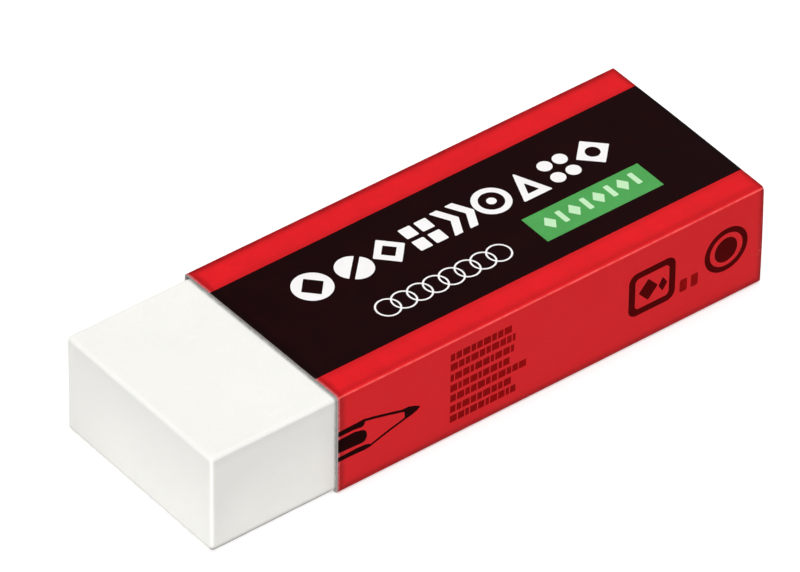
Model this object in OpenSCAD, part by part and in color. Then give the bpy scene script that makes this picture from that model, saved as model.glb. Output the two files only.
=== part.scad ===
// Block eraser held in a folded card sleeve.
// X runs along the block, Y across it and Z up. The origin is the centre of the underside.
// The block stands out of the sleeve's mouth on the -X side. The glued lap is on the +Y side.

/* [Rubber block] */
// Length of the rubber block
block_l = 64.8; // [55:0.1:75]
// Width of the rubber block
block_w = 22.2; // [16:0.1:30]
// Thickness of the rubber block
block_h = 11.1; // [8:0.1:16]
// Radius of the block's worn-in edges and corners
block_r = 0.4; // [0.35:0.05:1]

/* [Card sleeve] */
// Length of the sleeve
sleeve_l = 50.7; // [30:0.1:54]
// Thickness of the card
card_t = 0.2; // [0.15:0.01:0.35]
// Inside radius of the folds
fold_r = 0.2; // [0.1:0.01:0.3]
// Height at which the outer layer of the glued lap ends, above the underside
lap_z = 0.75; // [0.7:0.05:3]
// Distance from the top panel at which the glued flap ends
flap_short = 0.6; // [0.5:0.1:4]

/* [Fit] */
// Gap between the rubber and the card, on each side
gap = 0.05; // [0.02:0.01:0.1]
// How far the block stands out of the sleeve's mouth
exposed = 14.3; // [11:0.1:25]

/* [Hidden] */
$fn = 48;
over = 1;
// The space inside the sleeve
in_w = block_w + 2 * gap;
in_h = block_h + 2 * gap;
// The sleeve's outside: one layer of card on the near side and two on the lapped side
out_w = in_w + 3 * card_t;
out_h = in_h + 2 * card_t;
in_y0 = -out_w / 2 + card_t;
in_y1 = in_y0 + in_w;
out_r = fold_r + card_t;
// Where the pieces lie along X
total_l = exposed + sleeve_l;
mouth_x = -total_l / 2 + exposed;
block_x0 = -total_l / 2;
block_y = in_y0 + in_w / 2;
block_z = card_t + gap;

// A rectangle from (x0, y0) to (x1, y1) with all four corners rounded
module round_rect(x0, y0, x1, y1, r) {
    translate([x0 + r, y0]) square([x1 - x0 - 2 * r, y1 - y0]);
    translate([x0, y0 + r]) square([x1 - x0, y1 - y0 - 2 * r]);
    for (x = [x0 + r, x1 - r], y = [y0 + r, y1 - r]) translate([x, y]) circle(r = r);
}

// A rectangle from (x0, y0) to (x1, y1) with only the corner at (x1, y1) rounded
module corner_rect(x0, y0, x1, y1, r) {
    translate([x0, y0]) square([x1 - x0 - r, y1 - y0]);
    translate([x0, y0]) square([x1 - x0, y1 - y0 - r]);
    translate([x1 - r, y1 - r]) circle(r = r);
}

// The sleeve's section, with Y across and Z up: one strip of card folded round the
// block, its glue flap standing inside the lapped side and its last panel coming
// down outside the flap
module sleeve_section() {
    difference() {
        union() {
            round_rect(-out_w / 2, 0, in_y1 + card_t, out_h, out_r);
            corner_rect(0, lap_z, out_w / 2, out_h, out_r);
        }
        round_rect(in_y0, card_t, in_y1, card_t + in_h, fold_r);
        // Above the flap's free edge only the outer layer is left
        corner_rect(in_y1 - 2 * fold_r, card_t + in_h - flap_short,
                    in_y1 + card_t, card_t + in_h, fold_r);
    }
}

// Sleeve folded from one strip of printed card, open at both ends
module card_sleeve() {
    color([0.88, 0.12, 0.14])
    translate([mouth_x, 0, 0])
    rotate([90, 0, 90])
    linear_extrude(height = sleeve_l)
    sleeve_section();
}

// White rubber block with softly rounded edges
module rubber_block() {
    color([0.96, 0.96, 0.94])
    translate([block_x0, block_y, block_z])
    intersection() {
        rotate([90, 0, 90])
        linear_extrude(height = block_l)
        round_rect(-block_w / 2, 0, block_w / 2, block_h, block_r);
        translate([0, 0, -over])
        linear_extrude(height = block_h + 2 * over)
        round_rect(0, -block_w / 2, block_l, block_w / 2, block_r);
        translate([0, block_w / 2 + over, 0])
        rotate([90, 0, 0])
        linear_extrude(height = block_w + 2 * over)
        round_rect(0, 0, block_l, block_h, block_r);
    }
}

card_sleeve();
rubber_block();
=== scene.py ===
import math

import bpy
import numpy as np
from mathutils import Matrix, Vector, noise
from mathutils.geometry import delaunay_2d_cdt


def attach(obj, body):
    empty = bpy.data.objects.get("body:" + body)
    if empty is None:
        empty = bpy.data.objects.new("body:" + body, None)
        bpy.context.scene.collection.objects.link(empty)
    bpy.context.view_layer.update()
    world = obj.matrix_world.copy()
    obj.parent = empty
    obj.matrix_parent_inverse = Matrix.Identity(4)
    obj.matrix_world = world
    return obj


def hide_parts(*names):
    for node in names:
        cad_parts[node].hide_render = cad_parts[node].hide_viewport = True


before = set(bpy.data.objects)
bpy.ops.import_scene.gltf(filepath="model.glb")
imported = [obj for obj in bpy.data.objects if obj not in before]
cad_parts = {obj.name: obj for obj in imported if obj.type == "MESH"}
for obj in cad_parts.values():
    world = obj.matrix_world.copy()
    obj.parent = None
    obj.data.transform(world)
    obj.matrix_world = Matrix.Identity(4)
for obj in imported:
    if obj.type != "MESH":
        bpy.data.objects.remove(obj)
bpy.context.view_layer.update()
MM = 0.001

# ---------------------------------------------------------------- camera
# Rows are the camera's right, down and forward directions in the object's frame.
CAM_R = np.array([[0.788317, -0.615206, 0.008849],
                  [-0.386089, -0.505826, -0.771411],
                  [0.479053, 0.604700, -0.636276]])
CAM_POS = np.array([-402.207, -505.088, 540.743])
cam_data = bpy.data.cameras.new("camera")
cam = bpy.data.objects.new("camera", cam_data)
bpy.context.scene.collection.objects.link(cam)
cam_data.sensor_fit = "HORIZONTAL"
cam_data.sensor_width = 36.0
cam_data.lens = 404.097
cam_data.clip_start, cam_data.clip_end = 0.02, 60.0
right, down, forward = CAM_R
cam.matrix_world = Matrix([
    [right[0], -down[0], -forward[0], CAM_POS[0] * MM],
    [right[1], -down[1], -forward[1], CAM_POS[1] * MM],
    [right[2], -down[2], -forward[2], CAM_POS[2] * MM],
    [0, 0, 0, 1]])
bpy.context.scene.camera = cam

# ---------------------------------------------------------------- sizes, in millimetres
X0, X1 = -18.2, 32.5            # the sleeve's mouth and its other end
YN = -11.45                     # outside of the near side
YF = 11.25                      # outside of the glue flap, under the lap
YL = 11.45                      # outside of the lap
H = 11.6                        # outside height
CARD = 0.2
RO = 0.4                        # outside radius of the folds
LAP_Z = 0.75                    # where the lap ends
FLAP_Z = 10.8                   # where the glue flap ends
GLUE = 0.02                     # film between the lap and the flap
MOUTH_SLANT, END_SLANT = 0.30, 0.15   # how far the two cut ends lie out of square


# ---------------------------------------------------------------- the section that the card strip follows
# Each run is (kind, ...): a line from (y, z) to (y, z), or an arc round (cy, cz) from one
# normal angle to another. The path starts at the lap's cut edge and ends at the flap's.
RUNS = [
    ("line", YL, LAP_Z, YL, H - RO),
    ("arc", YL - RO, H - RO, 0.0, 90.0),
    ("line", YL - RO, H, YN + RO, H),
    ("arc", YN + RO, H - RO, 90.0, 180.0),
    ("line", YN, H - RO, YN, RO),
    ("arc", YN + RO, RO, 180.0, 270.0),
    ("line", YN + RO, 0.0, YF - RO, 0.0),
    ("arc", YF - RO, RO, 270.0, 360.0),
    ("line", YF, RO, YF, FLAP_Z),
]
LENS = []
for run in RUNS:
    if run[0] == "line":
        LENS.append(math.hypot(run[3] - run[1], run[4] - run[2]))
    else:
        LENS.append(RO * math.radians(run[4] - run[3]))
STARTS = np.concatenate([[0.0], np.cumsum(LENS)])
S_END = float(STARTS[-1])
LAP, FOLD_FAR_TOP, TOP, FOLD_NEAR_TOP, NEAR, FOLD_NEAR_LOW, UNDER, FOLD_FAR_LOW, FLAP = range(9)
FOLD_CENTRES = [float(STARTS[i] + LENS[i] / 2) for i in (FOLD_FAR_TOP, FOLD_NEAR_TOP, FOLD_NEAR_LOW, FOLD_FAR_LOW)]


def s_top(y):
    """Place along the strip of a point on the top panel."""
    return STARTS[TOP] + (YL - RO - y)


def s_near(z):
    """Place along the strip of a point on the near side."""
    return STARTS[NEAR] + (H - RO - z)


def bow(x, t, length, amount, seed):
    """Outward bow of a flat panel: a shallow crown with a slow, uneven waviness."""
    u = np.clip(t / length, 0.0, 1.0)
    crown = 4 * u * (1 - u)
    edge = np.clip(crown * 2.2, 0.0, 1.0)
    free = 1.0 + 0.35 * np.exp(-(X1 - x) / 5.0)
    wave = (0.45 * np.sin(x * 0.31 + seed) * np.sin(t * 0.42 + 1.7 * seed)
            + 0.30 * np.sin(x * 0.57 + 2.3 * seed + t * 0.21)
            + 0.25 * np.sin(t * 0.83 - x * 0.17 + 0.6 * seed))
    return amount * crown * free + 0.016 * edge * wave


def displacement(x, s):
    """How far the card stands out from its ideal section, along its outward normal."""
    x = np.asarray(x, float)
    s = np.asarray(s, float)
    d = np.zeros_like(s)
    for i, amount, seed in ((TOP, 0.050, 0.4), (NEAR, 0.045, 2.1), (UNDER, -0.020, 3.3)):
        m = (s >= STARTS[i]) & (s <= STARTS[i + 1])
        d = np.where(m, bow(x, s - STARTS[i], LENS[i], amount, seed), d)
    d = np.where((s >= STARTS[UNDER]) & (s <= STARTS[UNDER + 1]), np.minimum(d, 0.0) * 0.5, d)
    span = H - 2 * RO
    m = s <= STARTS[LAP + 1]
    d = np.where(m, bow(x, LAP_Z + s - RO, span, 0.035, 5.2), d)
    m = s >= STARTS[FLAP]
    d = np.where(m, bow(x, s - STARTS[FLAP], span, 0.035, 5.2), d)
    return d


def section(s):
    """(y, z, normal y, normal z) of the ideal outer face at s."""
    s = np.asarray(s, float)
    i = np.clip(np.searchsorted(STARTS, s, side="right") - 1, 0, len(RUNS) - 1)
    y = np.zeros_like(s)
    z = np.zeros_like(s)
    ny = np.zeros_like(s)
    nz = np.zeros_like(s)
    for k, run in enumerate(RUNS):
        m = i == k
        if not m.any():
            continue
        t = s[m] - STARTS[k]
        if run[0] == "line":
            dy, dz = (run[3] - run[1]) / LENS[k], (run[4] - run[2]) / LENS[k]
            y[m], z[m] = run[1] + dy * t, run[2] + dz * t
            ny[m], nz[m] = dz, -dy
        else:
            a = np.radians(run[3]) + t / RO
            ny[m], nz[m] = np.cos(a), np.sin(a)
            y[m], z[m] = run[1] + RO * ny[m], run[2] + RO * nz[m]
    return y, z, ny, nz


def card_point(x, s, inner):
    """Points and outward normals of the card's outer or inner face."""
    x = np.asarray(x, float)
    s = np.asarray(s, float)
    y, z, ny, nz = section(s)
    d = displacement(x, s)
    e = 0.05
    gx = (displacement(x + e, s) - displacement(x - e, s)) / (2 * e)
    gs = (displacement(x, s + e) - displacement(x, s - e)) / (2 * e)
    flat = np.array([RUNS[k][0] == "line" for k in range(len(RUNS))])
    k = np.clip(np.searchsorted(STARTS, s, side="right") - 1, 0, len(RUNS) - 1)
    gs = np.where(flat[k], gs, 0.0)
    # the glue film is taken out of the lap's inner face and the flap's outer face
    lap = np.clip((STARTS[FOLD_FAR_TOP + 1] - s) / LENS[FOLD_FAR_TOP], 0.0, 1.0)
    flap = np.clip((s - STARTS[FOLD_FAR_LOW]) / LENS[FOLD_FAR_LOW], 0.0, 1.0)
    off = d - (GLUE / 2) * flap
    if inner:
        off = d - CARD + (GLUE / 2) * lap
    # tangent along the path is the normal turned by +90 degrees
    ty, tz = -nz, ny
    # both ends are cut a touch out of square
    across = np.clip((y - YN) / (YL - YN), 0.0, 1.0)
    slant = MOUTH_SLANT * across * np.clip((-12.0 - x) / (-12.0 - X0), 0.0, 1.0)
    slant += END_SLANT * (1.0 - across) * np.clip((x - 26.0) / (X1 - 26.0), 0.0, 1.0)
    p = np.stack([x - slant, y + off * ny, z + off * nz], 1)
    n = np.stack([-gx, ny - gs * ty, nz - gs * tz], 1)
    n /= np.linalg.norm(n, axis=1)[:, None]
    return p, (-n if inner else n)


# ---------------------------------------------------------------- printed shapes
# Shapes are drawn on the top panel in (x, y) and on the near side in (x, z).
def rect(u0, v0, u1, v1):
    return [(u0, v0), (u1, v0), (u1, v1), (u0, v1)]


def arc_points(cu, cv, r, a0, a1, n):
    return [(cu + r * math.cos(math.radians(a0 + (a1 - a0) * i / n)),
             cv + r * math.sin(math.radians(a0 + (a1 - a0) * i / n))) for i in range(n + 1)]


def disc(cu, cv, r, n=36):
    return arc_points(cu, cv, r, 0, 360, n)[:-1]


def oval(cu, cv, ru, rv, n=44):
    return [(cu + ru * math.cos(2 * math.pi * i / n), cv + rv * math.sin(2 * math.pi * i / n)) for i in range(n)]


def round_box(u0, v0, u1, v1, r, n=6):
    pts = []
    for cu, cv, a in ((u1 - r, v1 - r, 0), (u0 + r, v1 - r, 90), (u0 + r, v0 + r, 180), (u1 - r, v0 + r, 270)):
        pts += arc_points(cu, cv, r, a, a + 90, n)
    return pts


def soft_poly(pts, r, n=4):
    """A polygon with its corners rounded by r."""
    out = []
    m = len(pts)
    for i in range(m):
        p0, p1, p2 = (np.array(pts[(i + k) % m], float) for k in (-1, 0, 1))
        a = (p0 - p1) / np.linalg.norm(p0 - p1)
        b = (p2 - p1) / np.linalg.norm(p2 - p1)
        half = math.acos(max(-1, min(1, float(a @ b)))) / 2
        reach = min(r / math.tan(half), 0.45 * np.linalg.norm(p0 - p1), 0.45 * np.linalg.norm(p2 - p1))
        q0, q2 = p1 + a * reach, p1 + b * reach
        for k in range(n + 1):
            t = k / n
            q = (1 - t) ** 2 * q0 + 2 * t * (1 - t) * p1 + t ** 2 * q2
            out.append((float(q[0]), float(q[1])))
    return out


def stroke(path, width, cap=5):
    """Outline of a line of even width with round ends that follows the path."""
    p = np.array(path, float)
    d = np.gradient(p, axis=0)
    d /= np.linalg.norm(d, axis=1)[:, None]
    n = np.stack([-d[:, 1], d[:, 0]], 1) * width / 2
    left = [tuple(q) for q in p + n]
    right_side = [tuple(q) for q in (p - n)[::-1]]
    a1 = math.degrees(math.atan2(d[-1, 1], d[-1, 0]))
    a0 = math.degrees(math.atan2(d[0, 1], d[0, 0]))
    end = arc_points(p[-1, 0], p[-1, 1], width / 2, a1 + 90, a1 - 90, cap)[1:-1]
    start = arc_points(p[0, 0], p[0, 1], width / 2, a0 - 90, a0 - 270, cap)[1:-1]
    return left + end + right_side + start


RED, BLACK, WHITE, GREEN, PALE, DARK, MARK, FINE, BOARD, CORE = range(10)
shapes = []                     # (material, polygon in (x, s)); later shapes lie on earlier ones


def on_top(mat, pts):
    shapes.append((mat, [(u, float(s_top(v))) for u, v in pts]))


def on_near(mat, pts):
    shapes.append((mat, [(u, float(s_near(v))) for u, v in pts]))


def half_ring(cu, cv, r, width, a0, a1, n=20):
    """Part of a ring, as one outline."""
    return arc_points(cu, cv, r + width / 2, a0, a1, n) + arc_points(cu, cv, r - width / 2, a1, a0, n)


# Top panel: the black band, from end to end
on_top(BLACK, [(X0, -8.10), (X1, -8.10), (X1, 7.80), (X0, 7.66)])
# Disc with a diamond-shaped hole at the band's left
on_top(WHITE, disc(-10.35, 2.60, 2.05, 48))
on_top(BLACK, soft_poly([(-10.35, 1.18), (-9.03, 2.60), (-10.35, 4.02), (-11.67, 2.60)], 0.12))
# Row of bold plain shapes
ROW_LO, ROW_HI, ROW_W, ROW_PITCH, ROW_X = 0.39, 4.46, 3.45, 4.06, -7.30
rm = (ROW_LO + ROW_HI) / 2
rh = (ROW_HI - ROW_LO) / 2


def cell(i):
    return ROW_X + ROW_PITCH * i + ROW_W / 2


c = cell(0)
for lean in (45, 225):
    on_top(WHITE, [(p[0] + 0.27 * math.cos(math.radians(lean + 90)), p[1] + 0.27 * math.sin(math.radians(lean + 90)))
                   for p in arc_points(c, rm, 1.66, lean, lean + 180, 24)])
c = cell(1)
on_top(WHITE, soft_poly([(c, ROW_LO), (c + 1.90, rm), (c, ROW_HI), (c - 1.90, rm)], 0.14))
on_top(BLACK, soft_poly([(c, rm - 0.98), (c + 0.93, rm), (c, rm + 0.98), (c - 0.93, rm)], 0.08))
c = cell(2)
for du in (-0.94, 0.94):
    for dv in (-1.06, 1.06):
        on_top(WHITE, round_box(c + du - 0.70, rm + dv - 0.79, c + du + 0.70, rm + dv + 0.79, 0.14, 4))
c = cell(3)
for du in (-1.86, -0.04):
    on_top(WHITE, soft_poly([(c + du, ROW_LO), (c + du + 0.95, ROW_LO), (c + du + 2.0, rm), (c + du + 0.95, ROW_HI),
                             (c + du, ROW_HI), (c + du + 1.05, rm)], 0.10))
c = cell(4)
on_top(WHITE, disc(c, rm, 1.98, 48))
on_top(BLACK, disc(c, rm, 1.30, 36))
on_top(WHITE, disc(c, rm, 0.50, 24))
c = cell(5)
on_top(WHITE, soft_poly([(c - 1.70, ROW_LO), (c + 1.70, ROW_LO), (c, ROW_HI)], 0.14))
on_top(BLACK, soft_poly([(c - 0.66, ROW_LO + 0.76), (c + 0.66, ROW_LO + 0.76), (c, ROW_LO + 2.28)], 0.08))
c = cell(6)
for du, dv in ((-0.92, -1.04), (0.92, -1.04), (-0.92, 1.04), (0.92, 1.04)):
    on_top(WHITE, disc(c + du, rm + dv, 0.77, 24))
c = cell(7)
on_top(WHITE, soft_poly([(c + r * math.cos(math.radians(a)), rm + r * math.sin(math.radians(a)))
                         for r, a in ((2.0, 90 * k) for k in range(4))], 0.10))
on_top(BLACK, disc(c, rm, 0.76, 24))
# Thin chain of linked rings below the row
for i in range(8):
    u = -6.62 + 1.869 * i
    on_top(WHITE, half_ring(u, -4.02, 1.22, 0.19, 0, 180))
    on_top(WHITE, half_ring(u, -4.02, 1.22, 0.19, 180, 360))
# Green label with a row of pale marks
on_top(GREEN, [(11.13, -5.46), (25.08, -5.46), (25.08, -1.48), (11.13, -1.48)])
for i in range(8):
    u, v = 13.05 + i * 1.49, -3.41 + i * 0.045
    if i % 2:
        on_top(PALE, round_box(u - 0.29, v - 0.90, u + 0.29, v + 0.90, 0.12, 3))
    else:
        on_top(PALE, soft_poly([(u, v - 0.94), (u + 0.68, v), (u, v + 0.94), (u - 0.68, v)], 0.06, 2))

# Near side: plain pictogram of a pencil that the mouth cuts off
on_near(DARK, [(X0, 6.90), (-16.40, 6.88), (-15.40, 6.74), (-15.14, 6.92), (-15.08, 7.30), (-15.16, 7.60), (-16.00, 7.56), (X0, 7.50)])
on_near(DARK, [(X0, 4.96), (-16.50, 4.88), (-15.40, 4.80), (-15.02, 4.94), (-14.83, 5.36), (-14.88, 5.92), (-15.25, 6.32),
               (-16.30, 6.60), (X0, 6.54)])
on_near(DARK, [(X0, 3.90), (-16.00, 3.86), (-15.00, 3.80), (-14.50, 3.86), (-14.30, 4.04), (-14.55, 4.27), (-15.00, 4.42),
               (-16.00, 4.50), (X0, 4.44)])
on_near(DARK, stroke([(-15.30, 7.44), (-14.0, 7.16), (-12.5, 6.76), (-11.3, 6.42), (-10.5, 6.20)], 0.31))
on_near(DARK, stroke([(-14.50, 4.00), (-13.0, 4.48), (-12.0, 4.78), (-11.0, 5.03), (-10.3, 5.22)], 0.28))
on_near(DARK, soft_poly([(-10.80, 6.44), (-10.00, 6.42), (-9.20, 6.12), (-8.58, 5.76), (-9.00, 5.46), (-9.60, 5.23),
                         (-10.15, 5.10), (-10.46, 5.22), (-10.48, 5.90)], 0.10, 3))
# Rows of small bars
ROWS = [(9.64, 2.30), (8.48, 2.55), (7.22, 2.64), (5.95, 1.95), (4.74, 4.18), (3.44, 2.12), (2.26, 2.66)]
for j, (v, end) in enumerate(ROWS):
    u = -5.10
    k = 0
    while u < end - 0.3:
        w = 0.34 + 0.52 * abs(math.sin(2.1 * k + 1.3 * j + 0.4))
        w = min(w, end - u)
        on_near(FINE, rect(u, v - 0.42, u + w, v + 0.42))
        u += w + 0.13
        k += 1
# Plain rounded-square outline with two diamonds in it
on_near(MARK, round_box(16.10, 3.58, 21.74, 8.74, 1.00))
on_near(RED, round_box(16.88, 4.34, 20.98, 7.98, 0.48))
on_near(MARK, soft_poly([(18.46, 4.86), (19.62, 6.14), (18.46, 7.42), (17.30, 6.14)], 0.16, 3))
on_near(MARK, soft_poly([(20.22, 5.08), (20.76, 5.94), (20.22, 6.80), (19.68, 5.94)], 0.12, 3))
# Two small blocks
on_near(FINE, round_box(22.30, 3.78, 23.20, 5.26, 0.2, 3))
on_near(FINE, round_box(23.66, 3.78, 24.52, 5.26, 0.2, 3))
# Plain oval outline with a disc
on_near(MARK, oval(27.95, 6.28, 2.68, 2.54))
on_near(RED, oval(27.95, 6.28, 2.04, 1.90))
on_near(MARK, disc(27.92, 6.26, 1.42, 28))


# ---------------------------------------------------------------- the sleeve's mesh
def graded(a, b, step, ends):
    """Places from a to b, with the given distances from both ends and even steps between."""
    inner = [a + e for e in ends] + [b - e for e in ends]
    lo, hi = a + (ends[-1] if ends else 0), b - (ends[-1] if ends else 0)
    n = max(1, int(round((hi - lo) / step)))
    mid = [lo + (hi - lo) * i / n for i in range(n + 1)]
    return sorted(set(round(v, 6) for v in [a, b] + inner + mid))


xs = graded(X0, X1, 0.95, [0.06, 0.16, 0.34, 0.65, 1.1])
ss = []
for k, run in enumerate(RUNS):
    a, b = float(STARTS[k]), float(STARTS[k + 1])
    if run[0] == "line":
        ss += graded(a, b, 0.95, [0.08, 0.2, 0.35, 0.55, 0.8, 1.15])
    else:
        ss += [a + (b - a) * i / 12 for i in range(13)]
ss = sorted(set(round(v, 5) for v in ss))
keep = [ss[0]]
for v in ss[1:]:
    if v - keep[-1] > 1e-3:
        keep.append(v)
ss = keep
s_first, s_last = ss[0], ss[-1]
rows = list(ss)
for _, poly in shapes:
    for i, (u, v) in enumerate(poly):
        if abs(u - X0) < 1e-6 or abs(u - X1) < 1e-6:
            rows.append(round(v, 5))
rows = sorted(set(rows))
keep = [rows[0]]
for v in rows[1:]:
    if v - keep[-1] > 1e-3:
        keep.append(v)
rows = keep


def snap(u, v):
    """Points on the cut ends take the row that they share with the inner face."""
    if abs(u - X0) < 1e-6 or abs(u - X1) < 1e-6:
        v = min(rows, key=lambda r: abs(r - v))
    return u, v


def dense(pts):
    """The same outline with points every millimetre or so, and closer together at the cut ends."""
    out = []
    m = len(pts)
    for i in range(m):
        p, q = np.array(pts[i]), np.array(pts[(i + 1) % m])
        out.append((float(p[0]), float(p[1])))
        length = float(np.linalg.norm(q - p))
        if length < 1.2 or (abs(q[0] - p[0]) < 1e-6 and min(abs(p[0] - X0), abs(p[0] - X1)) < 1e-6):
            continue
        at = set(round(k / math.ceil(length / 0.9), 6) for k in range(1, math.ceil(length / 0.9)))
        if abs(q[0] - p[0]) > 1.0:
            for x in (X0 + 0.06, X0 + 0.16, X0 + 0.34, X0 + 0.65, X0 + 1.1,
                      X1 - 1.1, X1 - 0.65, X1 - 0.34, X1 - 0.16, X1 - 0.06):
                f = (x - p[0]) / (q[0] - p[0])
                if 1e-4 < f < 1 - 1e-4:
                    at.add(round(float(f), 6))
        last = 0.0
        for f in sorted(at):
            if (f - last) * length > 0.02 and (1 - f) * length > 0.02:
                out.append(tuple(float(c) for c in p + (q - p) * f))
                last = f
    return out


verts2 = []
edges2 = []
segs = []
for _, poly in shapes:
    base = len(verts2)
    pts = dense([snap(u, v) for u, v in poly])
    verts2 += pts
    m = len(pts)
    for i in range(m):
        edges2.append((base + i, base + (i + 1) % m))
        segs.append((*pts[i], *pts[(i + 1) % m]))
segs = np.array(segs)
grid = np.array([(x, s) for x in xs[1:-1] for s in ss[1:-1]])
a, b = segs[:, :2], segs[:, 2:]
ab = b - a
ll = np.maximum((ab ** 2).sum(1), 1e-12)
clear = np.ones(len(grid), bool)
for i0 in range(0, len(grid), 1000):
    g = grid[i0:i0 + 1000]
    t = np.clip(((g[:, None, :] - a) * ab).sum(2) / ll, 0, 1)
    dist = np.linalg.norm(g[:, None, :] - (a + t[..., None] * ab), axis=2).min(1)
    clear[i0:i0 + 1000] = dist > 0.10
in_fold = np.zeros(len(grid), bool)
for k in (FOLD_FAR_TOP, FOLD_NEAR_TOP, FOLD_NEAR_LOW, FOLD_FAR_LOW):
    in_fold |= (grid[:, 1] > STARTS[k] - 1e-6) & (grid[:, 1] < STARTS[k + 1] + 1e-6)
grid = grid[clear | in_fold]
verts2 += [tuple(g) for g in grid]
verts2 += [(x, s) for x in (xs[0], xs[-1]) for s in rows]
verts2 += [(x, s) for x in xs[1:-1] for s in (s_first, s_last)]
cdt = delaunay_2d_cdt([Vector(v) for v in verts2], edges2, [], 0, 1e-5, False)
cv = np.array([tuple(v) for v in cdt[0]], float)
cf = np.array([tuple(f) for f in cdt[2]], int)
area = 0.5 * ((cv[cf[:, 1], 0] - cv[cf[:, 0], 0]) * (cv[cf[:, 2], 1] - cv[cf[:, 0], 1])
              - (cv[cf[:, 2], 0] - cv[cf[:, 0], 0]) * (cv[cf[:, 1], 1] - cv[cf[:, 0], 1]))
cf = cf[np.abs(area) > 1e-9]
mid = cv[cf].mean(1)


def inside(points, poly):
    """Which points lie inside the polygon."""
    p = np.array(poly, float)
    q = np.roll(p, -1, axis=0)
    hit = np.zeros(len(points), bool)
    for (x0, y0), (x1, y1) in zip(p, q):
        if y0 == y1:
            continue
        cross = (points[:, 1] >= min(y0, y1)) & (points[:, 1] < max(y0, y1))
        at = x0 + (points[:, 1] - y0) * (x1 - x0) / (y1 - y0)
        hit ^= cross & (points[:, 0] < at)
    return hit


face_mat = np.full(len(cf), RED)
for mat, poly in shapes:
    p = np.array(poly)
    near_by = ((mid[:, 0] >= p[:, 0].min()) & (mid[:, 0] <= p[:, 0].max())
               & (mid[:, 1] >= p[:, 1].min()) & (mid[:, 1] <= p[:, 1].max()))
    idx = np.nonzero(near_by)[0]
    face_mat[idx[inside(mid[idx], poly)]] = mat

pts, nrm = card_point(cv[:, 0], cv[:, 1], False)
verts = [tuple(v) for v in pts]
sheet_x = list(cv[:, 0])
sheet_s = list(cv[:, 1])
faces, mats, loops = [], [], []


def add(face, mat, normals, expect):
    """Adds a face with its corner normals, turned so that it faces the expected way."""
    p = [np.array(verts[i]) for i in face]
    n = np.cross(p[1] - p[0], p[2] - p[0])
    if len(p) == 4:
        n = n + np.cross(p[2] - p[0], p[3] - p[0])
    if n @ expect < 0:
        face, normals = face[::-1], normals[::-1]
    faces.append(tuple(int(i) for i in face))
    mats.append(int(mat))
    loops.extend(tuple(float(c) for c in v) for v in normals)


for f, m in zip(cf, face_mat):
    add(list(f), m, [nrm[i] for i in f], nrm[f[0]])

# inner face
gx, gs = np.meshgrid(xs, rows, indexing="ij")
ip, inn = card_point(gx.ravel(), gs.ravel(), True)
base = len(verts)
verts += [tuple(v) for v in ip]
sheet_x += list(gx.ravel())
sheet_s += list(gs.ravel())
nr = len(rows)


def inner_id(i, j):
    return base + i * nr + j


for i in range(len(xs) - 1):
    for j in range(nr - 1):
        f = [inner_id(i, j), inner_id(i + 1, j), inner_id(i + 1, j + 1), inner_id(i, j + 1)]
        add(f, BOARD, [inn[k - base] for k in f], inn[f[0] - base])

# cut edges: both ends, the lap's edge and the flap's edge
for x, i, nx in ((xs[0], 0, -1.0), (xs[-1], len(xs) - 1, 1.0)):
    chain = sorted(np.nonzero(np.abs(cv[:, 0] - x) < 1e-6)[0], key=lambda k: cv[k, 1])
    if len(chain) != nr:
        raise RuntimeError("the sleeve's end has %d points, not %d" % (len(chain), nr))
    n = np.array([nx, 0.0, 0.0])
    for j in range(nr - 1):
        add([chain[j], chain[j + 1], inner_id(i, j + 1), inner_id(i, j)], CORE, [n] * 4, n)
for s, j, nz in ((s_first, 0, -1.0), (s_last, nr - 1, 1.0)):
    chain = sorted(np.nonzero(np.abs(cv[:, 1] - s) < 1e-6)[0], key=lambda k: cv[k, 0])
    if len(chain) != len(xs):
        raise RuntimeError("the sleeve's edge has %d points, not %d" % (len(chain), len(xs)))
    n = np.array([0.0, 0.0, nz])
    for i in range(len(xs) - 1):
        add([chain[i], chain[i + 1], inner_id(i + 1, j), inner_id(i, j)], CORE, [n] * 4, n)


def mesh_object(name, verts_mm, faces, materials, mats=None, normals=None):
    me = bpy.data.meshes.new(name)
    me.from_pydata([tuple(c * MM for c in v) for v in verts_mm], [], faces)
    for m in materials:
        me.materials.append(m)
    if mats is not None:
        me.polygons.foreach_set("material_index", mats)
    me.polygons.foreach_set("use_smooth", [True] * len(me.polygons))
    me.update()
    if normals is not None:
        me.normals_split_custom_set(normals)
    ob = bpy.data.objects.new(name, me)
    bpy.context.scene.collection.objects.link(ob)
    return ob


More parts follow.
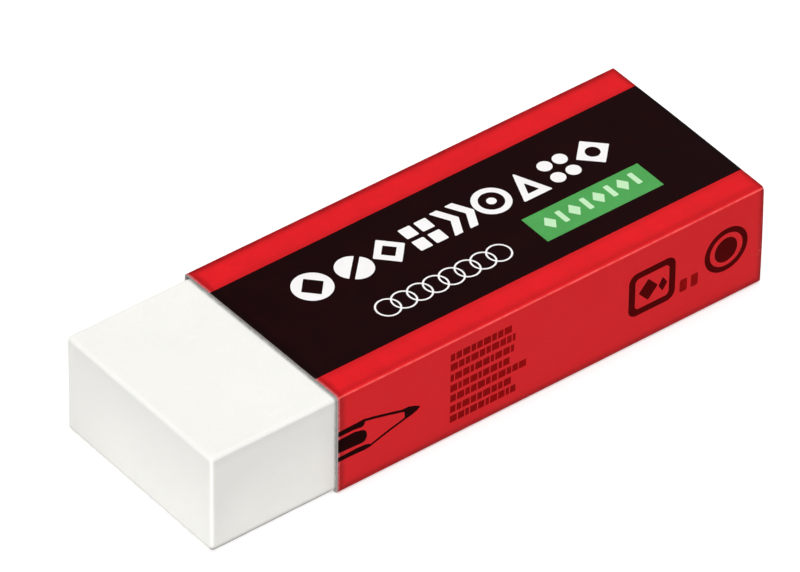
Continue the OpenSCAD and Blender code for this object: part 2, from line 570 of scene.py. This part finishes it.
# ---------------------------------------------------------------- materials
class Nodes:
    """Small helper that adds and links shader nodes."""

    def __init__(self, name):
        self.mat = bpy.data.materials.new(name)
        self.mat.use_nodes = True
        self.tree = self.mat.node_tree
        self.tree.nodes.clear()
        self.out = self.new("ShaderNodeOutputMaterial")
        self.bsdf = self.new("ShaderNodeBsdfPrincipled")
        self.link(self.bsdf.outputs["BSDF"], self.out.inputs["Surface"])

    def new(self, kind, **props):
        n = self.tree.nodes.new(kind)
        for k, v in props.items():
            setattr(n, k, v)
        return n

    def link(self, a, b):
        self.tree.links.new(a, b)

    def coords(self, scale=(1, 1, 1)):
        c = self.new("ShaderNodeTexCoord")
        m = self.new("ShaderNodeMapping")
        m.inputs["Scale"].default_value = scale
        self.link(c.outputs["Object"], m.inputs["Vector"])
        return m.outputs["Vector"]

    def noise(self, vector, scale, detail=2.0, rough=0.5):
        n = self.new("ShaderNodeTexNoise")
        n.inputs["Scale"].default_value = scale
        n.inputs["Detail"].default_value = detail
        n.inputs["Roughness"].default_value = rough
        self.link(vector, n.inputs["Vector"])
        return n.outputs["Fac"]

    def remap(self, value, a0, a1, b0, b1):
        n = self.new("ShaderNodeMapRange")
        for k, v in zip(("From Min", "From Max", "To Min", "To Max"), (a0, a1, b0, b1)):
            n.inputs[k].default_value = v
        self.link(value, n.inputs["Value"])
        return n.outputs["Result"]

    def math(self, op, a, b):
        n = self.new("ShaderNodeMath", operation=op)
        for i, v in enumerate((a, b)):
            if isinstance(v, (int, float)):
                n.inputs[i].default_value = v
            else:
                self.link(v, n.inputs[i])
        return n.outputs[0]

    def bell(self, distance, flat, width):
        """One within the flat distance, falling off softly over the width (mm)."""
        d = self.math("DIVIDE", self.math("MAXIMUM", self.math("SUBTRACT", distance, flat * MM), 0.0), width * MM)
        return self.math("EXPONENT", self.math("MULTIPLY", self.math("MULTIPLY", d, d), -1.0), 0.0)

    def mix(self, fac, a, b):
        n = self.new("ShaderNodeMix", data_type="RGBA")
        if isinstance(fac, (int, float)):
            n.inputs[0].default_value = fac
        else:
            self.link(fac, n.inputs[0])
        for i, v in ((6, a), (7, b)):
            if isinstance(v, tuple):
                n.inputs[i].default_value = (*v[:3], 1.0)
            else:
                self.link(v, n.inputs[i])
        return n.outputs[2]

    def attribute(self, name):
        n = self.new("ShaderNodeAttribute", attribute_name=name)
        return n.outputs["Fac"]

    def bump(self, height, distance, strength=1.0, after=None):
        n = self.new("ShaderNodeBump")
        n.inputs["Strength"].default_value = strength
        n.inputs["Distance"].default_value = distance
        self.link(height, n.inputs["Height"])
        if after is not None:
            self.link(after, n.inputs["Normal"])
        return n.outputs["Normal"]


def scaled(rgb, k):
    return tuple(c * k for c in rgb)


def print_material(name, rgb, wear_and_highlight, rough=0.42, spec=0.05, crack_and_highlight=0.85, vary=0.06, rimmed=0.35, frayed=None):
    """Ink on coated card: even colour with slight mottle, fine fibre relief, cracked folds painted pale as a highlight
    on the near-top one, and painted shade at the folds and cut ends.
    """
    g = Nodes(name)
    v = g.coords()
    along = g.coords((0.35, 1.0, 1.0))
    mottle = g.noise(v, 420.0, 3.0, 0.55)
    cloud = g.noise(v, 95.0, 2.0, 0.5)
    fibre = g.noise(along, 9000.0, 3.0, 0.6)
    tone = g.math("ADD", g.math("MULTIPLY", mottle, 0.6), g.math("MULTIPLY", cloud, 0.4))
    base = g.mix(g.remap(tone, 0.36, 0.64, 0.0, 1.0), scaled(rgb, 1 - vary), scaled(rgb, 1 + vary))
    # the card's grain and short fibres show faintly through the ink
    grain = g.noise(v, 5200.0, 2.0, 0.6)
    strand = g.noise(g.coords((0.16, 1.0, 1.0)), 5600.0, 2.0, 0.55)
    base = g.mix(g.remap(grain, 0.42, 0.66, 0.0, 0.26), base, scaled(rgb, 1 - 2.6 * vary))
    base = g.mix(g.remap(strand, 0.56, 0.72, 0.0, 0.16), base, tuple(min(1.0, c * (1 + 3.0 * vary) + 0.001) for c in rgb))
    # painted shade on the narrow sides
    base = g.mix(g.attribute("side"), base, scaled(rgb, 0.86)) if frayed else base
    # places of the cut ends, which lie a touch out of square
    at = g.new("ShaderNodeSeparateXYZ")
    g.link(v, at.inputs[0])
    across = g.remap(at.outputs["Y"], YN * MM, YL * MM, 0.0, 1.0)
    mouth = g.math("SUBTRACT", g.math("ADD", at.outputs["X"], g.math("MULTIPLY", across, MOUTH_SLANT * MM)), X0 * MM)
    end = g.math("SUBTRACT", (X1 - END_SLANT) * MM, g.math("SUBTRACT", at.outputs["X"], g.math("MULTIPLY", across, END_SLANT * MM)))
    # the ink cracks along the folds and thins at the cut edges; along the near-top fold the pale cracked line also
    # stands in for a painted highlight
    fold_crack_and_highlight = g.attribute("fold_crack_and_highlight")
    rim = g.attribute("rim")
    crack = g.noise(g.coords((0.5, 1.0, 1.0)), 2600.0, 3.0, 0.6)
    amount = g.math("MULTIPLY", fold_crack_and_highlight, g.remap(crack, 0.30, 0.60, 0.45, 1.0))
    amount = g.math("MULTIPLY", amount, crack_and_highlight)
    amount = g.math("MAXIMUM", amount, g.math("MULTIPLY", rim, g.remap(crack, 0.42, 0.62, 0.0, rimmed)))
    # painted shade: the print lies darker where the card turns over a fold and along its cut ends
    painted_shade = g.math("MAXIMUM", g.math("MULTIPLY", g.bell(mouth, 0.40, 0.38), 0.48), g.math("MULTIPLY", g.bell(end, 0.0, 0.40), 0.78))
    painted_shade = g.math("MAXIMUM", painted_shade, g.attribute("fold_shade"))
    painted_shade = g.math("MULTIPLY", painted_shade, g.remap(g.noise(g.coords((0.5, 1.0, 1.0)), 1300.0, 3.0, 0.6), 0.34, 0.62, 0.78, 1.12))
    if frayed:
        # the red ends darker along the black band
        low = g.math("ABSOLUTE", g.math("ADD", at.outputs["Y"], 8.10 * MM), 0.0)
        high = g.math("ABSOLUTE", g.math("SUBTRACT", at.outputs["Y"], 7.73 * MM), 0.0)
        beside = g.math("MULTIPLY", g.bell(g.math("MINIMUM", low, high), 0.1, 0.45), 0.20)
        beside = g.math("MULTIPLY", beside, g.remap(at.outputs["Z"], 11.0 * MM, 11.4 * MM, 0.0, 1.0))
        painted_shade = g.math("MAXIMUM", painted_shade, beside)
    base = g.mix(painted_shade, base, scaled(rgb, 0.25))
    if frayed:
        rub = g.math("MULTIPLY", g.bell(mouth, 0.12, 0.08), g.remap(crack, 0.34, 0.60, 0.40, 0.95))
        base = g.mix(rub, base, frayed)
    base = g.mix(amount, base, wear_and_highlight)
    g.link(base, g.bsdf.inputs["Base Color"])
    g.link(g.remap(mottle, 0.3, 0.7, rough - 0.05, rough + 0.06), g.bsdf.inputs["Roughness"])
    g.bsdf.inputs["Specular IOR Level"].default_value = spec
    coarse = g.noise(v, 1500.0, 2.0, 0.5)
    n = g.bump(coarse, 0.000010, 0.5)
    n = g.bump(fibre, 0.000006, 0.6, n)
    g.link(n, g.bsdf.inputs["Normal"])
    return g.mat


def board_material(name, rgb, rough=0.85):
    """Bare grey board with short fibres."""
    g = Nodes(name)
    v = g.coords((0.4, 1.0, 1.0))
    fibre = g.noise(v, 7000.0, 4.0, 0.65)
    cloud = g.noise(g.coords(), 900.0, 3.0, 0.6)
    base = g.mix(g.remap(fibre, 0.35, 0.65, 0.0, 1.0), scaled(rgb, 0.86), scaled(rgb, 1.12))
    base = g.mix(g.remap(cloud, 0.35, 0.65, 0.0, 0.5), base, scaled(rgb, 0.90))
    g.link(base, g.bsdf.inputs["Base Color"])
    g.bsdf.inputs["Roughness"].default_value = rough
    g.bsdf.inputs["Specular IOR Level"].default_value = 0.2
    g.link(g.bump(fibre, 0.00002, 0.7), g.bsdf.inputs["Normal"])
    return g.mat


def rubber_material():
    """Matte white vinyl: faintly warm, slightly translucent, with a fine dull grain."""
    g = Nodes("white_rubber")
    v = g.coords()
    cloud = g.noise(v, 130.0, 3.0, 0.5)
    grain = g.noise(v, 5200.0, 3.0, 0.6)
    dust = g.noise(v, 1400.0, 4.0, 0.65)
    base = g.mix(g.remap(cloud, 0.35, 0.65, 0.0, 1.0), (0.838, 0.831, 0.793), (0.862, 0.855, 0.815))
    base = g.mix(g.remap(dust, 0.56, 0.72, 0.0, 0.35), base, (0.79, 0.78, 0.74))
    base = g.mix(g.remap(grain, 0.46, 0.68, 0.0, 0.30), base, (0.77, 0.76, 0.73))
    scuff = g.noise(g.coords((0.25, 1.0, 0.6)), 900.0, 4.0, 0.7)
    base = g.mix(g.remap(scuff, 0.60, 0.74, 0.0, 0.22), base, (0.93, 0.925, 0.90))
    # painted shade on the sides, darker towards their upper edges
    base = g.mix(g.math("MULTIPLY", g.attribute("shade"), 0.87), base, (0.730, 0.723, 0.693))
    # painted highlight along the rounded edges
    base = g.mix(g.attribute("edge"), base, (0.935, 0.930, 0.905))
    # a faint grey line where the sleeve's mouth lies: rubbed dust and painted shadow
    at = g.new("ShaderNodeSeparateXYZ")
    g.link(g.coords(), at.inputs[0])
    lean = g.remap(at.outputs["Y"], YN * MM, YL * MM, 0.0, MOUTH_SLANT * MM)
    away = g.math("ABSOLUTE", g.math("ADD", g.math("ADD", at.outputs["X"], lean), (0.07 - X0) * MM), 0.0)
    line = g.math("MULTIPLY", g.bell(away, 0.06, 0.10), g.remap(dust, 0.35, 0.60, 0.55, 0.85))
    base = g.mix(line, base, (0.37, 0.36, 0.35))
    # painted shadow along the lower edges and painted shade below the upper edges
    base = g.mix(g.attribute("contact_shade"), base, (0.30, 0.295, 0.285))
    g.link(base, g.bsdf.inputs["Base Color"])
    g.link(g.remap(cloud, 0.3, 0.7, 0.52, 0.62), g.bsdf.inputs["Roughness"])
    g.bsdf.inputs["Specular IOR Level"].default_value = 0.35
    g.bsdf.inputs["Subsurface Weight"].default_value = 0.25
    g.bsdf.inputs["Subsurface Radius"].default_value = (1.0, 0.9, 0.8)
    g.bsdf.inputs["Subsurface Scale"].default_value = 0.0006
    n = g.bump(dust, 0.000030, 0.6)
    n = g.bump(grain, 0.000014, 0.7, n)
    g.link(n, g.bsdf.inputs["Normal"])
    return g.mat


# pale colour of cracked ink, also used as the painted highlight along the near-top fold
SALMON = (0.97, 0.150, 0.140)
printed = [
    print_material("print_red", (0.690, 0.0105, 0.0155), SALMON, vary=0.065, frayed=(0.52, 0.135, 0.145)),
    print_material("print_black", (0.0100, 0.0009, 0.0013), (0.16, 0.13, 0.13), spec=0.024, vary=0.20, rimmed=0.10),
    print_material("print_white", (0.86, 0.84, 0.84), (0.86, 0.84, 0.84), vary=0.02),
    print_material("print_green", (0.076, 0.350, 0.086), (0.45, 0.60, 0.45)),
    print_material("print_pale_green", (0.52, 0.79, 0.49), (0.52, 0.79, 0.49), vary=0.03),
    print_material("print_dark_red", (0.0130, 0.0006, 0.0008), (0.25, 0.12, 0.11), spec=0.006, vary=0.15),
    print_material("print_mark_red", (0.070, 0.0005, 0.0007), (0.30, 0.10, 0.09), spec=0.006, vary=0.15),
    print_material("print_fine_red", (0.245, 0.0012, 0.0016), (0.50, 0.10, 0.10), spec=0.012, vary=0.15),
    board_material("board_inside", (0.52, 0.50, 0.47)),
    board_material("board_core", (0.36, 0.34, 0.33)),
]

sleeve = mesh_object("printed_sleeve", verts, faces, printed, mats, loops)
sx = np.array(sheet_x)
sv = np.array(sheet_s)
fold_crack_and_highlight = np.zeros(len(sv))
fold_shade = np.zeros(len(sv))
# painted shade along the folds, strongest on the far-top and near-low ones, and a pale line of cracked ink that is
# also a painted highlight, mostly on the near-top fold
for share, dark, centre in zip((0.0, 1.0, 0.0, 0.3), (0.74, 0.0, 0.62, 0.45), FOLD_CENTRES):
    fold_crack_and_highlight = np.maximum(fold_crack_and_highlight, share * np.exp(-((sv - centre - 0.05) / 0.085) ** 2))
    fold_shade = np.maximum(fold_shade, dark * np.exp(-(np.clip(np.abs(sv - centre) - 0.25, 0.0, None) / 0.46) ** 2))
# painted shade: the top panel darkens softly towards its near fold
fold_shade = np.maximum(fold_shade, 0.25 * np.exp(-(np.clip(FOLD_CENTRES[1] - sv - 0.40, 0.0, None) / 0.46) ** 2)
                    * np.clip((FOLD_CENTRES[1] - sv - 0.12) / 0.15, 0.0, 1.0))
edge = np.minimum.reduce([sx - X0, X1 - sx, sv - s_first, s_last - sv])
rim = np.exp(-np.clip(edge, 0, None) / 0.07)
# painted shade: the narrow sides are a little darker
side = np.clip((sv - FOLD_CENTRES[1]) / 0.3, 0.0, 1.0) * np.clip((FOLD_CENTRES[2] - sv) / 0.3, 0.0, 1.0)
side = 0.75 * np.maximum(side, np.clip((FOLD_CENTRES[0] - sv) / 0.3, 0.0, 1.0))
for name, values in (("fold_crack_and_highlight", fold_crack_and_highlight), ("fold_shade", fold_shade), ("side", side), ("rim", rim)):
    at = sleeve.data.attributes.new(name, "FLOAT", "POINT")
    at.data.foreach_set("value", values.astype(np.float32))
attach(sleeve, "sleeve")
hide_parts("card_sleeve")

# ---------------------------------------------------------------- the rubber block
BX0, BX1 = -32.5, 32.3
BY0, BY1 = -11.2, 11.0
BZ0, BZ1 = 0.25, 11.35
BR = 0.4


def block_lines(lo, hi, step):
    """Lattice places across one face: even angles over the rounded edges, even steps between."""
    turn = [BR * (1 - math.tan(math.radians(45 * (6 - k) / 6))) for k in range(7)]
    ease = [BR + 0.15, BR + 0.4]
    a, b = lo + ease[-1], hi - ease[-1]
    n = max(1, int(round((b - a) / step)))
    mid_part = [a + (b - a) * i / n for i in range(n + 1)]
    return sorted(set(round(v, 6) for v in [lo + t for t in turn] + [hi - t for t in turn]
                      + [lo + ease[0], hi - ease[0]] + mid_part))


lo3 = np.array([BX0, BY0, BZ0])
hi3 = np.array([BX1, BY1, BZ1])
lines = [block_lines(lo3[k], hi3[k], 0.6) for k in range(3)]
ids, bverts, bfaces = {}, [], []


def vid(q):
    key = tuple(round(c, 5) for c in q)
    if key not in ids:
        ids[key] = len(bverts)
        bverts.append(key)
    return ids[key]


for axis in range(3):
    u, v = [k for k in range(3) if k != axis]
    for side, value in ((-1, lo3[axis]), (1, hi3[axis])):
        for i in range(len(lines[u]) - 1):
            for j in range(len(lines[v]) - 1):
                quad = []
                for a_, b_ in ((i, j), (i + 1, j), (i + 1, j + 1), (i, j + 1)):
                    q = [0.0, 0.0, 0.0]
                    q[axis], q[u], q[v] = value, lines[u][a_], lines[v][b_]
                    quad.append(vid(q))
                n = np.cross(np.array(bverts[quad[1]]) - np.array(bverts[quad[0]]),
                             np.array(bverts[quad[2]]) - np.array(bverts[quad[0]]))
                bfaces.append(tuple(quad) if n[axis] * side > 0 else tuple(quad[::-1]))
q = np.array(bverts)
core = np.clip(q, lo3 + BR, hi3 - BR)
out = q - core
length = np.linalg.norm(out, axis=1)[:, None]
direction = out / length
bp = core + direction * BR
dent = np.array([0.012 * noise.noise(Vector(p * 0.16)) + 0.006 * noise.noise(Vector(p * 0.55 + 7.0)) for p in bp])
corner = (np.abs(direction) > 0.2).sum(1) >= 2
nick = np.array([0.030 * max(0.0, noise.noise(Vector(p * 0.9 + 3.0))) for p in bp]) * corner
bp = bp + direction * (np.minimum(dent, 0.006) - nick)[:, None]
block = mesh_object("eraser_block", bp, bfaces, [rubber_material()])
# painted shade: the sides are a touch darker towards their upper edges, most of all on the rubbing end
height = np.clip((bp[:, 2] - 1.0) / 9.6, 0.0, 1.0)
sideways = np.clip(np.maximum(np.abs(direction[:, 0]), np.abs(direction[:, 1])) * 1.6 - 0.6, 0.0, 1.0)
shade = height ** 1.3 * sideways * (0.92 + 0.15 * np.tanh(bp[:, 1] / 6.0) + 0.35 * np.clip(-direction[:, 1], 0.0, 1.0))
# painted shade: the near face is darker beside the rubbing end's edge
beside = np.clip(-direction[:, 1] * 1.6 - 0.6, 0.0, 1.0) * np.exp(-(bp[:, 0] - BX0) / 3.0)
shade = np.clip(shade + 0.70 * beside, 0.0, 1.0)
# ... painted shade, a little more beside the sleeve's mouth and low on the far part of the end
beside = np.clip(-direction[:, 1] * 1.6 - 0.6, 0.0, 1.0) * np.exp(-((bp[:, 0] - X0) / 1.3) ** 2)
low = np.clip(-direction[:, 0] * 1.6 - 0.6, 0.0, 1.0) * np.clip((bp[:, 1] - 2.0) / 9.0, 0.0, 1.0) * (1.0 - height)
shade = np.clip(shade + 0.65 * beside + 0.90 * low, 0.0, 1.15)
# painted shadow along the bare part's lower edges
contact_shade = np.clip((X0 - bp[:, 0]) / 0.6, 0.0, 1.0) * np.clip((0.86 - bp[:, 2]) / 0.26, 0.0, 1.0) * np.clip((direction[:, 2] + 1.0) / 0.3, 0.0, 1.0)
contact_shade *= 0.90 * np.abs(direction[:, 1]) ** 0.5 + 0.35 * np.abs(direction[:, 0])
# ... and a breath of painted shade just below the bare part's upper edges
below = np.exp(-((BZ1 - bp[:, 2] - 0.50) / 0.42) ** 2) * np.clip((X0 - bp[:, 0]) / 0.6, 0.0, 1.0)
contact_shade = np.maximum(contact_shade, below * (0.11 * np.clip(-direction[:, 1] * 6 - 5, 0.0, 1.0) + 0.04 * np.clip(-direction[:, 0] * 6 - 5, 0.0, 1.0)))
# painted highlight: the rounded edges are paler than the faces
edge = np.clip((1.0 - np.abs(direction).max(1)) / 0.29, 0.0, 1.0) ** 0.8
edge *= 1.0 - 0.8 * np.clip((direction[:, 2] - 0.50) / 0.35, 0.0, 1.0)
edge *= 1.0 - 0.5 * np.clip(-direction[:, 0] * 2.0, 0.0, 1.0) * np.clip(direction[:, 2] * 2.0, 0.0, 1.0)
for name, values in (("shade", shade), ("edge", edge), ("contact_shade", np.clip(contact_shade, 0.0, 0.90))):
    at = block.data.attributes.new(name, "FLOAT", "POINT")
    at.data.foreach_set("value", values.astype(np.float32))
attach(block, "block")
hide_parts("rubber_block")

# ---------------------------------------------------------------- floor and light
g = Nodes("floor")
tone = g.noise(g.coords(), 3.0, 2.0, 0.5)
g.link(g.mix(tone, (0.645, 0.645, 0.645), (0.655, 0.655, 0.655)), g.bsdf.inputs["Base Color"])
g.bsdf.inputs["Roughness"].default_value = 0.9
g.bsdf.inputs["Specular IOR Level"].default_value = 0.0
g.bsdf.inputs["Emission Color"].default_value = (1, 1, 1, 1)
# the floor glows more with distance, so that it stays as pale away from the lights
place = g.new("ShaderNodeVectorMath", operation="LENGTH")
g.link(g.coords(), place.inputs[0])
g.link(g.remap(place.outputs["Value"], 0.35, 1.6, 0.49, 0.95), g.bsdf.inputs["Emission Strength"])
fv, ff = [], []
N = 24
for i in range(N + 1):
    for j in range(N + 1):
        fv.append(((i / N - 0.5) * 12000, (j / N - 0.5) * 12000, 0.0))
for i in range(N):
    for j in range(N):
        k = i * (N + 1) + j
        ff.append((k, k + N + 1, k + N + 2, k + 1))
floor = mesh_object("floor", fv, ff, [g.mat])
floor.location.z = -0.00001


def softbox(name, azimuth, elevation, distance, size, power):
    """A square area light that looks at the object's middle."""
    data = bpy.data.lights.new(name, "AREA")
    data.shape = "SQUARE"
    data.size = size
    data.energy = power
    ob = bpy.data.objects.new(name, data)
    bpy.context.scene.collection.objects.link(ob)
    az, el = math.radians(azimuth), math.radians(elevation)
    back = Vector((math.sin(az) * math.cos(el), -math.cos(az) * math.cos(el), math.sin(el)))
    ob.location = Vector((0, 0, 0.005)) + back * distance
    ob.rotation_mode = "QUATERNION"
    ob.rotation_quaternion = (-back).to_track_quat("-Z", "Y")
    return ob


softbox("overhead", -60, 82, 1.0, 0.75, 8.8)
softbox("front_left", -56, 26, 1.2, 0.7, 5.2)
softbox("back_right", 118, 32, 1.3, 0.9, 3.2)

world = bpy.data.worlds.new("world")
bpy.context.scene.world = world
world.use_nodes = True
world.node_tree.nodes["Background"].inputs["Color"].default_value = (1.0, 1.0, 1.0, 1.0)
world.node_tree.nodes["Background"].inputs["Strength"].default_value = 0.14

view = bpy.context.scene.view_settings
view.view_transform = "Standard"
view.look = "None"
view.exposure = 0.0
view.gamma = 1.0

bpy.context.view_layer.update()
